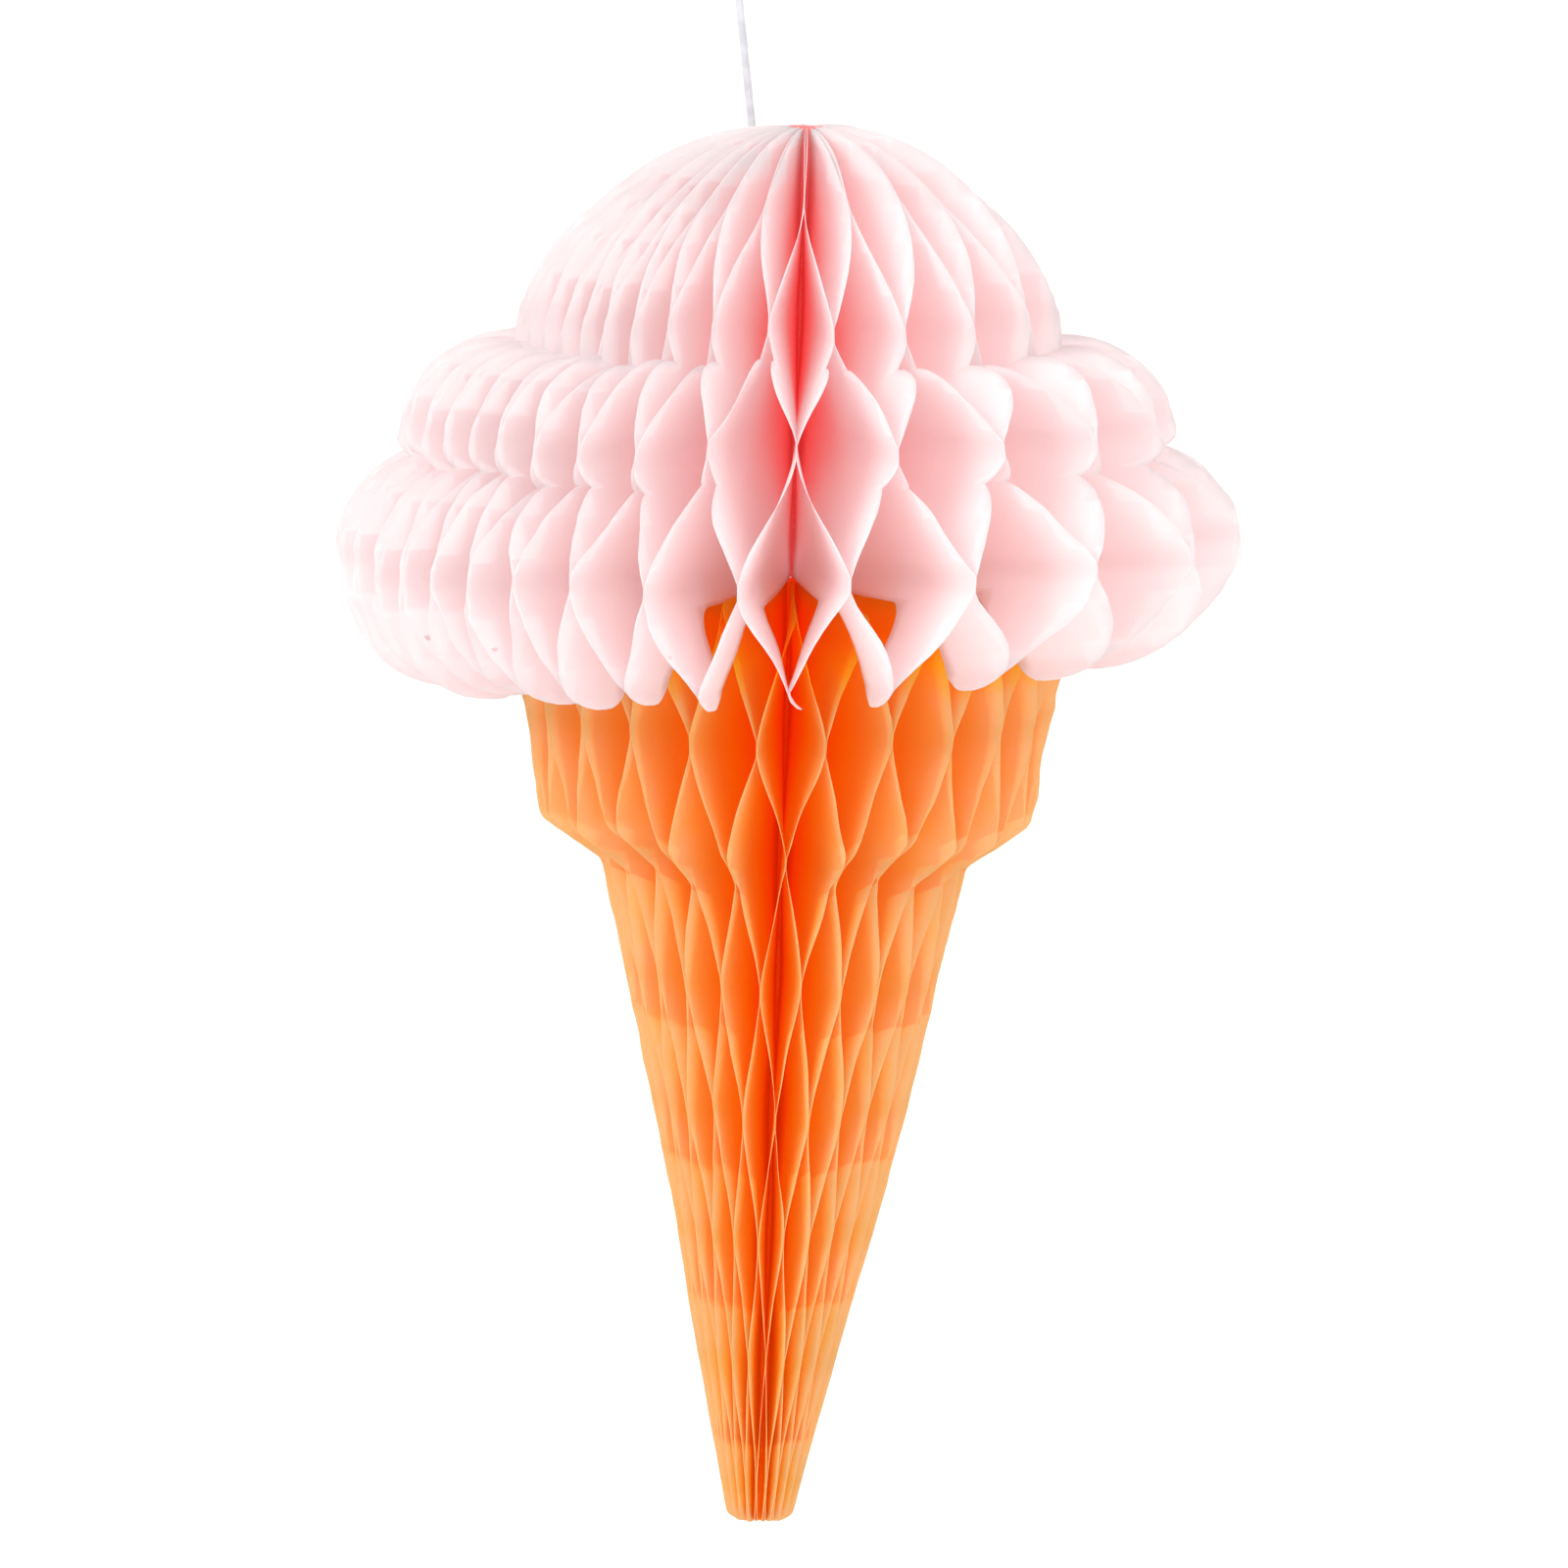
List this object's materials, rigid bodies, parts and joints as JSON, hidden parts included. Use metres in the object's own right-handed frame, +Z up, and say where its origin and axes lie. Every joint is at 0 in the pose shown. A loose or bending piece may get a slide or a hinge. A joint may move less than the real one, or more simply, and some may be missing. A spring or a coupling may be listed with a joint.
{
  "type": "paper honeycomb hanging decoration",
  "caption": "Hanging ice-cream cone of honeycomb tissue: a tiered scoop pad over a cone pad, fanned round a spine between two card covers.",
  "frame": {"origin": "inside the top of the string's loop, where a hook bears on it", "axes": "+Z up along the plumb string; the open seam faces away from the viewer of the front, which looks along +Y; +X to that viewer's right"},
  "size_m": [0.1909, 0.19, 0.3518],
  "materials": {
    "scoop_tissue": "matt, thin and translucent, deeper red where the sheets shade each other",
    "cone_tissue": "matt, thin and translucent",
    "card": "matt",
    "adhesive_tab": "satin",
    "string": "twisted fibre, matt"
  },
  "bodies": {
    "hanger": {"hanging_string": "string", "loop_knot": "string", "hanging_loop": "string"},
    "fixed_cover": {"cover_fixed": "card", "cone_spine": "cone_tissue", "scoop_spine": "scoop_tissue", "tab_scoop": "adhesive_tab", "tab_cup": "adhesive_tab", "tab_cone": "adhesive_tab", "string_tail": "string", "string_knot": "string"},
    "moving_cover": {"cover_moving": "card"},
    "scoop_leaf_01": {"scoop_leaf_01": "scoop_tissue"},
    "scoop_leaf_02": {"scoop_leaf_02": "scoop_tissue"},
    "scoop_leaf_03": {"scoop_leaf_03": "scoop_tissue"},
    "scoop_leaf_04": {"scoop_leaf_04": "scoop_tissue"},
    "scoop_leaf_05": {"scoop_leaf_05": "scoop_tissue"},
    "scoop_leaf_06": {"scoop_leaf_06": "scoop_tissue"},
    "scoop_leaf_07": {"scoop_leaf_07": "scoop_tissue"},
    "scoop_leaf_08": {"scoop_leaf_08": "scoop_tissue"},
    "scoop_leaf_09": {"scoop_leaf_09": "scoop_tissue"},
    "scoop_leaf_10": {"scoop_leaf_10": "scoop_tissue"},
    "scoop_leaf_11": {"scoop_leaf_11": "scoop_tissue"},
    "scoop_leaf_12": {"scoop_leaf_12": "scoop_tissue"},
    "scoop_leaf_13": {"scoop_leaf_13": "scoop_tissue"},
    "scoop_leaf_14": {"scoop_leaf_14": "scoop_tissue"},
    "scoop_leaf_15": {"scoop_leaf_15": "scoop_tissue"},
    "scoop_leaf_16": {"scoop_leaf_16": "scoop_tissue"},
    "scoop_leaf_17": {"scoop_leaf_17": "scoop_tissue"},
    "scoop_leaf_18": {"scoop_leaf_18": "scoop_tissue"},
    "scoop_leaf_19": {"scoop_leaf_19": "scoop_tissue"},
    "scoop_leaf_20": {"scoop_leaf_20": "scoop_tissue"},
    "scoop_leaf_21": {"scoop_leaf_21": "scoop_tissue"},
    "scoop_leaf_22": {"scoop_leaf_22": "scoop_tissue"},
    "scoop_leaf_23": {"scoop_leaf_23": "scoop_tissue"},
    "scoop_leaf_24": {"scoop_leaf_24": "scoop_tissue"},
    "cone_leaf_01": {"cone_leaf_01": "cone_tissue"},
    "cone_leaf_02": {"cone_leaf_02": "cone_tissue"},
    "cone_leaf_03": {"cone_leaf_03": "cone_tissue"},
    "cone_leaf_04": {"cone_leaf_04": "cone_tissue"},
    "cone_leaf_05": {"cone_leaf_05": "cone_tissue"},
    "cone_leaf_06": {"cone_leaf_06": "cone_tissue"},
    "cone_leaf_07": {"cone_leaf_07": "cone_tissue"},
    "cone_leaf_08": {"cone_leaf_08": "cone_tissue"},
    "cone_leaf_09": {"cone_leaf_09": "cone_tissue"},
    "cone_leaf_10": {"cone_leaf_10": "cone_tissue"},
    "cone_leaf_11": {"cone_leaf_11": "cone_tissue"},
    "cone_leaf_12": {"cone_leaf_12": "cone_tissue"},
    "cone_leaf_13": {"cone_leaf_13": "cone_tissue"},
    "cone_leaf_14": {"cone_leaf_14": "cone_tissue"},
    "cone_leaf_15": {"cone_leaf_15": "cone_tissue"},
    "cone_leaf_16": {"cone_leaf_16": "cone_tissue"},
    "cone_leaf_17": {"cone_leaf_17": "cone_tissue"},
    "cone_leaf_18": {"cone_leaf_18": "cone_tissue"},
    "cone_leaf_19": {"cone_leaf_19": "cone_tissue"},
    "cone_leaf_20": {"cone_leaf_20": "cone_tissue"},
    "cone_leaf_21": {"cone_leaf_21": "cone_tissue"},
    "cone_leaf_22": {"cone_leaf_22": "cone_tissue"},
    "cone_leaf_23": {"cone_leaf_23": "cone_tissue"},
    "cone_leaf_24": {"cone_leaf_24": "cone_tissue"}
  },
  "joints": [
    {"name": "spin on the string", "type": "hinge", "parent": "hanger", "child": "fixed_cover", "pos_m": [0, 0, -0.062], "axis": [0, 0, 1], "continuous": true},
    {"name": "fan", "type": "hinge", "parent": "fixed_cover", "child": "moving_cover", "pos_m": [0.0101, -0.01439, -0.06596], "axis": [-0.1354, 0.1732, -0.9755], "range_deg": [0, 346]},
    {"name": "scoop leaf 01", "type": "hinge", "parent": "fixed_cover", "child": "scoop_leaf_01", "pos_m": [0.0101, -0.01439, -0.06596], "axis": [-0.1354, 0.1732, -0.9755], "range_deg": [0, 13.89], "deforming": ["scoop_leaf_01"]},
    {"name": "scoop leaf 02", "type": "hinge", "parent": "fixed_cover", "child": "scoop_leaf_02", "pos_m": [0.0101, -0.01439, -0.06596], "axis": [-0.1354, 0.1732, -0.9755], "range_deg": [0, 29.47], "deforming": ["scoop_leaf_02"]},
    {"name": "scoop leaf 03", "type": "hinge", "parent": "fixed_cover", "child": "scoop_leaf_03", "pos_m": [0.0101, -0.01439, -0.06596], "axis": [-0.1354, 0.1732, -0.9755], "range_deg": [0, 43.03], "deforming": ["scoop_leaf_03"]},
    {"name": "scoop leaf 04", "type": "hinge", "parent": "fixed_cover", "child": "scoop_leaf_04", "pos_m": [0.0101, -0.01439, -0.06596], "axis": [-0.1354, 0.1732, -0.9755], "range_deg": [0, 54.62], "deforming": ["scoop_leaf_04"]},
    {"name": "scoop leaf 05", "type": "hinge", "parent": "fixed_cover", "child": "scoop_leaf_05", "pos_m": [0.0101, -0.01439, -0.06596], "axis": [-0.1354, 0.1732, -0.9755], "range_deg": [0, 64.41], "deforming": ["scoop_leaf_05"]},
    {"name": "scoop leaf 06", "type": "hinge", "parent": "fixed_cover", "child": "scoop_leaf_06", "pos_m": [0.0101, -0.01439, -0.06596], "axis": [-0.1354, 0.1732, -0.9755], "range_deg": [0, 72.67], "deforming": ["scoop_leaf_06"]},
    {"name": "scoop leaf 07", "type": "hinge", "parent": "fixed_cover", "child": "scoop_leaf_07", "pos_m": [0.0101, -0.01439, -0.06596], "axis": [-0.1354, 0.1732, -0.9755], "range_deg": [0, 79.79], "deforming": ["scoop_leaf_07"]},
    {"name": "scoop leaf 08", "type": "hinge", "parent": "fixed_cover", "child": "scoop_leaf_08", "pos_m": [0.0101, -0.01439, -0.06596], "axis": [-0.1354, 0.1732, -0.9755], "range_deg": [0, 86.22], "deforming": ["scoop_leaf_08"]},
    {"name": "scoop leaf 09", "type": "hinge", "parent": "fixed_cover", "child": "scoop_leaf_09", "pos_m": [0.0101, -0.01439, -0.06596], "axis": [-0.1354, 0.1732, -0.9755], "range_deg": [0, 92.48], "deforming": ["scoop_leaf_09"]},
    {"name": "scoop leaf 10", "type": "hinge", "parent": "fixed_cover", "child": "scoop_leaf_10", "pos_m": [0.0101, -0.01439, -0.06596], "axis": [-0.1354, 0.1732, -0.9755], "range_deg": [0, 99.08], "deforming": ["scoop_leaf_10"]},
    {"name": "scoop leaf 11", "type": "hinge", "parent": "fixed_cover", "child": "scoop_leaf_11", "pos_m": [0.0101, -0.01439, -0.06596], "axis": [-0.1354, 0.1732, -0.9755], "range_deg": [0, 106.5], "deforming": ["scoop_leaf_11"]},
    {"name": "scoop leaf 12", "type": "hinge", "parent": "fixed_cover", "child": "scoop_leaf_12", "pos_m": [0.0101, -0.01439, -0.06596], "axis": [-0.1354, 0.1732, -0.9755], "range_deg": [0, 115.18], "deforming": ["scoop_leaf_12"]},
    {"name": "scoop leaf 13", "type": "hinge", "parent": "fixed_cover", "child": "scoop_leaf_13", "pos_m": [0.0101, -0.01439, -0.06596], "axis": [-0.1354, 0.1732, -0.9755], "range_deg": [0, 125.49], "deforming": ["scoop_leaf_13"]},
    {"name": "scoop leaf 14", "type": "hinge", "parent": "fixed_cover", "child": "scoop_leaf_14", "pos_m": [0.0101, -0.01439, -0.06596], "axis": [-0.1354, 0.1732, -0.9755], "range_deg": [0, 137.66], "deforming": ["scoop_leaf_14"]},
    {"name": "scoop leaf 15", "type": "hinge", "parent": "fixed_cover", "child": "scoop_leaf_15", "pos_m": [0.0101, -0.01439, -0.06596], "axis": [-0.1354, 0.1732, -0.9755], "range_deg": [0, 151.84], "deforming": ["scoop_leaf_15"]},
    {"name": "scoop leaf 16", "type": "hinge", "parent": "fixed_cover", "child": "scoop_leaf_16", "pos_m": [0.0101, -0.01439, -0.06596], "axis": [-0.1354, 0.1732, -0.9755], "range_deg": [0, 168.01], "deforming": ["scoop_leaf_16"]},
    {"name": "scoop leaf 17", "type": "hinge", "parent": "fixed_cover", "child": "scoop_leaf_17", "pos_m": [0.0101, -0.01439, -0.06596], "axis": [-0.1354, 0.1732, -0.9755], "range_deg": [0, 186.04], "deforming": ["scoop_leaf_17"]},
    {"name": "scoop leaf 18", "type": "hinge", "parent": "fixed_cover", "child": "scoop_leaf_18", "pos_m": [0.0101, -0.01439, -0.06596], "axis": [-0.1354, 0.1732, -0.9755], "range_deg": [0, 205.68], "deforming": ["scoop_leaf_18"]},
    {"name": "scoop leaf 19", "type": "hinge", "parent": "fixed_cover", "child": "scoop_leaf_19", "pos_m": [0.0101, -0.01439, -0.06596], "axis": [-0.1354, 0.1732, -0.9755], "range_deg": [0, 226.56], "deforming": ["scoop_leaf_19"]},
    {"name": "scoop leaf 20", "type": "hinge", "parent": "fixed_cover", "child": "scoop_leaf_20", "pos_m": [0.0101, -0.01439, -0.06596], "axis": [-0.1354, 0.1732, -0.9755], "range_deg": [0, 248.24], "deforming": ["scoop_leaf_20"]},
    {"name": "scoop leaf 21", "type": "hinge", "parent": "fixed_cover", "child": "scoop_leaf_21", "pos_m": [0.0101, -0.01439, -0.06596], "axis": [-0.1354, 0.1732, -0.9755], "range_deg": [0, 270.23], "deforming": ["scoop_leaf_21"]},
    {"name": "scoop leaf 22", "type": "hinge", "parent": "fixed_cover", "child": "scoop_leaf_22", "pos_m": [0.0101, -0.01439, -0.06596], "axis": [-0.1354, 0.1732, -0.9755], "range_deg": [0, 292.01], "deforming": ["scoop_leaf_22"]},
    {"name": "scoop leaf 23", "type": "hinge", "parent": "fixed_cover", "child": "scoop_leaf_23", "pos_m": [0.0101, -0.01439, -0.06596], "axis": [-0.1354, 0.1732, -0.9755], "range_deg": [0, 313.09], "deforming": ["scoop_leaf_23"]},
    {"name": "scoop leaf 24", "type": "hinge", "parent": "fixed_cover", "child": "scoop_leaf_24", "pos_m": [0.0101, -0.01439, -0.06596], "axis": [-0.1354, 0.1732, -0.9755], "range_deg": [0, 333], "deforming": ["scoop_leaf_24"]},
    {"name": "cone leaf 01", "type": "hinge", "parent": "fixed_cover", "child": "cone_leaf_01", "pos_m": [0.0101, -0.01439, -0.06596], "axis": [-0.1354, 0.1732, -0.9755], "range_deg": [0, 11.59], "deforming": ["cone_leaf_01"]},
    {"name": "cone leaf 02", "type": "hinge", "parent": "fixed_cover", "child": "cone_leaf_02", "pos_m": [0.0101, -0.01439, -0.06596], "axis": [-0.1354, 0.1732, -0.9755], "range_deg": [0, 25.71], "deforming": ["cone_leaf_02"]},
    {"name": "cone leaf 03", "type": "hinge", "parent": "fixed_cover", "child": "cone_leaf_03", "pos_m": [0.0101, -0.01439, -0.06596], "axis": [-0.1354, 0.1732, -0.9755], "range_deg": [0, 39.84], "deforming": ["cone_leaf_03"]},
    {"name": "cone leaf 04", "type": "hinge", "parent": "fixed_cover", "child": "cone_leaf_04", "pos_m": [0.0101, -0.01439, -0.06596], "axis": [-0.1354, 0.1732, -0.9755], "range_deg": [0, 53.96], "deforming": ["cone_leaf_04"]},
    {"name": "cone leaf 05", "type": "hinge", "parent": "fixed_cover", "child": "cone_leaf_05", "pos_m": [0.0101, -0.01439, -0.06596], "axis": [-0.1354, 0.1732, -0.9755], "range_deg": [0, 68.08], "deforming": ["cone_leaf_05"]},
    {"name": "cone leaf 06", "type": "hinge", "parent": "fixed_cover", "child": "cone_leaf_06", "pos_m": [0.0101, -0.01439, -0.06596], "axis": [-0.1354, 0.1732, -0.9755], "range_deg": [0, 82.2], "deforming": ["cone_leaf_06"]},
    {"name": "cone leaf 07", "type": "hinge", "parent": "fixed_cover", "child": "cone_leaf_07", "pos_m": [0.0101, -0.01439, -0.06596], "axis": [-0.1354, 0.1732, -0.9755], "range_deg": [0, 96.33], "deforming": ["cone_leaf_07"]},
    {"name": "cone leaf 08", "type": "hinge", "parent": "fixed_cover", "child": "cone_leaf_08", "pos_m": [0.0101, -0.01439, -0.06596], "axis": [-0.1354, 0.1732, -0.9755], "range_deg": [0, 110.45], "deforming": ["cone_leaf_08"]},
    {"name": "cone leaf 09", "type": "hinge", "parent": "fixed_cover", "child": "cone_leaf_09", "pos_m": [0.0101, -0.01439, -0.06596], "axis": [-0.1354, 0.1732, -0.9755], "range_deg": [0, 124.57], "deforming": ["cone_leaf_09"]},
    {"name": "cone leaf 10", "type": "hinge", "parent": "fixed_cover", "child": "cone_leaf_10", "pos_m": [0.0101, -0.01439, -0.06596], "axis": [-0.1354, 0.1732, -0.9755], "range_deg": [0, 138.69], "deforming": ["cone_leaf_10"]},
    {"name": "cone leaf 11", "type": "hinge", "parent": "fixed_cover", "child": "cone_leaf_11", "pos_m": [0.0101, -0.01439, -0.06596], "axis": [-0.1354, 0.1732, -0.9755], "range_deg": [0, 152.82], "deforming": ["cone_leaf_11"]},
    {"name": "cone leaf 12", "type": "hinge", "parent": "fixed_cover", "child": "cone_leaf_12", "pos_m": [0.0101, -0.01439, -0.06596], "axis": [-0.1354, 0.1732, -0.9755], "range_deg": [0, 166.94], "deforming": ["cone_leaf_12"]},
    {"name": "cone leaf 13", "type": "hinge", "parent": "fixed_cover", "child": "cone_leaf_13", "pos_m": [0.0101, -0.01439, -0.06596], "axis": [-0.1354, 0.1732, -0.9755], "range_deg": [0, 181.06], "deforming": ["cone_leaf_13"]},
    {"name": "cone leaf 14", "type": "hinge", "parent": "fixed_cover", "child": "cone_leaf_14", "pos_m": [0.0101, -0.01439, -0.06596], "axis": [-0.1354, 0.1732, -0.9755], "range_deg": [0, 195.18], "deforming": ["cone_leaf_14"]},
    {"name": "cone leaf 15", "type": "hinge", "parent": "fixed_cover", "child": "cone_leaf_15", "pos_m": [0.0101, -0.01439, -0.06596], "axis": [-0.1354, 0.1732, -0.9755], "range_deg": [0, 209.31], "deforming": ["cone_leaf_15"]},
    {"name": "cone leaf 16", "type": "hinge", "parent": "fixed_cover", "child": "cone_leaf_16", "pos_m": [0.0101, -0.01439, -0.06596], "axis": [-0.1354, 0.1732, -0.9755], "range_deg": [0, 223.43], "deforming": ["cone_leaf_16"]},
    {"name": "cone leaf 17", "type": "hinge", "parent": "fixed_cover", "child": "cone_leaf_17", "pos_m": [0.0101, -0.01439, -0.06596], "axis": [-0.1354, 0.1732, -0.9755], "range_deg": [0, 237.55], "deforming": ["cone_leaf_17"]},
    {"name": "cone leaf 18", "type": "hinge", "parent": "fixed_cover", "child": "cone_leaf_18", "pos_m": [0.0101, -0.01439, -0.06596], "axis": [-0.1354, 0.1732, -0.9755], "range_deg": [0, 251.67], "deforming": ["cone_leaf_18"]},
    {"name": "cone leaf 19", "type": "hinge", "parent": "fixed_cover", "child": "cone_leaf_19", "pos_m": [0.0101, -0.01439, -0.06596], "axis": [-0.1354, 0.1732, -0.9755], "range_deg": [0, 265.8], "deforming": ["cone_leaf_19"]},
    {"name": "cone leaf 20", "type": "hinge", "parent": "fixed_cover", "child": "cone_leaf_20", "pos_m": [0.0101, -0.01439, -0.06596], "axis": [-0.1354, 0.1732, -0.9755], "range_deg": [0, 279.92], "deforming": ["cone_leaf_20"]},
    {"name": "cone leaf 21", "type": "hinge", "parent": "fixed_cover", "child": "cone_leaf_21", "pos_m": [0.0101, -0.01439, -0.06596], "axis": [-0.1354, 0.1732, -0.9755], "range_deg": [0, 294.04], "deforming": ["cone_leaf_21"]},
    {"name": "cone leaf 22", "type": "hinge", "parent": "fixed_cover", "child": "cone_leaf_22", "pos_m": [0.0101, -0.01439, -0.06596], "axis": [-0.1354, 0.1732, -0.9755], "range_deg": [0, 308.16], "deforming": ["cone_leaf_22"]},
    {"name": "cone leaf 23", "type": "hinge", "parent": "fixed_cover", "child": "cone_leaf_23", "pos_m": [0.0101, -0.01439, -0.06596], "axis": [-0.1354, 0.1732, -0.9755], "range_deg": [0, 322.29], "deforming": ["cone_leaf_23"]},
    {"name": "cone leaf 24", "type": "hinge", "parent": "fixed_cover", "child": "cone_leaf_24", "pos_m": [0.0101, -0.01439, -0.06596], "axis": [-0.1354, 0.1732, -0.9755], "range_deg": [0, 336.41], "deforming": ["cone_leaf_24"]}
  ],
  "couplings": [
    {"joint": "scoop leaf 01", "follows": "fan", "ratio": 0.03726},
    {"joint": "scoop leaf 02", "follows": "fan", "ratio": 0.082274},
    {"joint": "scoop leaf 03", "follows": "fan", "ratio": 0.12148},
    {"joint": "scoop leaf 04", "follows": "fan", "ratio": 0.15498},
    {"joint": "scoop leaf 05", "follows": "fan", "ratio": 0.18326},
    {"joint": "scoop leaf 06", "follows": "fan", "ratio": 0.20713},
    {"joint": "scoop leaf 07", "follows": "fan", "ratio": 0.22771},
    {"joint": "scoop leaf 08", "follows": "fan", "ratio": 0.24632},
    {"joint": "scoop leaf 09", "follows": "fan", "ratio": 0.2644},
    {"joint": "scoop leaf 10", "follows": "fan", "ratio": 0.28346},
    {"joint": "scoop leaf 11", "follows": "fan", "ratio": 0.3049},
    {"joint": "scoop leaf 12", "follows": "fan", "ratio": 0.33},
    {"joint": "scoop leaf 13", "follows": "fan", "ratio": 0.35979},
    {"joint": "scoop leaf 14", "follows": "fan", "ratio": 0.39498},
    {"joint": "scoop leaf 15", "follows": "fan", "ratio": 0.43595},
    {"joint": "scoop leaf 16", "follows": "fan", "ratio": 0.48269},
    {"joint": "scoop leaf 17", "follows": "fan", "ratio": 0.5348},
    {"joint": "scoop leaf 18", "follows": "fan", "ratio": 0.59155},
    {"joint": "scoop leaf 19", "follows": "fan", "ratio": 0.6519},
    {"joint": "scoop leaf 20", "follows": "fan", "ratio": 0.71457},
    {"joint": "scoop leaf 21", "follows": "fan", "ratio": 0.77813},
    {"joint": "scoop leaf 22", "follows": "fan", "ratio": 0.84108},
    {"joint": "scoop leaf 23", "follows": "fan", "ratio": 0.902},
    {"joint": "scoop leaf 24", "follows": "fan", "ratio": 0.95955},
    {"joint": "cone leaf 01", "follows": "fan", "ratio": 0.030612},
    {"joint": "cone leaf 02", "follows": "fan", "ratio": 0.071429},
    {"joint": "cone leaf 03", "follows": "fan", "ratio": 0.11224},
    {"joint": "cone leaf 04", "follows": "fan", "ratio": 0.15306},
    {"joint": "cone leaf 05", "follows": "fan", "ratio": 0.19388},
    {"joint": "cone leaf 06", "follows": "fan", "ratio": 0.23469},
    {"joint": "cone leaf 07", "follows": "fan", "ratio": 0.27551},
    {"joint": "cone leaf 08", "follows": "fan", "ratio": 0.31633},
    {"joint": "cone leaf 09", "follows": "fan", "ratio": 0.35714},
    {"joint": "cone leaf 10", "follows": "fan", "ratio": 0.39796},
    {"joint": "cone leaf 11", "follows": "fan", "ratio": 0.43878},
    {"joint": "cone leaf 12", "follows": "fan", "ratio": 0.47959},
    {"joint": "cone leaf 13", "follows": "fan", "ratio": 0.52041},
    {"joint": "cone leaf 14", "follows": "fan", "ratio": 0.56122},
    {"joint": "cone leaf 15", "follows": "fan", "ratio": 0.60204},
    {"joint": "cone leaf 16", "follows": "fan", "ratio": 0.64286},
    {"joint": "cone leaf 17", "follows": "fan", "ratio": 0.68367},
    {"joint": "cone leaf 18", "follows": "fan", "ratio": 0.72449},
    {"joint": "cone leaf 19", "follows": "fan", "ratio": 0.76531},
    {"joint": "cone leaf 20", "follows": "fan", "ratio": 0.80612},
    {"joint": "cone leaf 21", "follows": "fan", "ratio": 0.84694},
    {"joint": "cone leaf 22", "follows": "fan", "ratio": 0.88775},
    {"joint": "cone leaf 23", "follows": "fan", "ratio": 0.92857},
    {"joint": "cone leaf 24", "follows": "fan", "ratio": 0.96939}
  ]
}
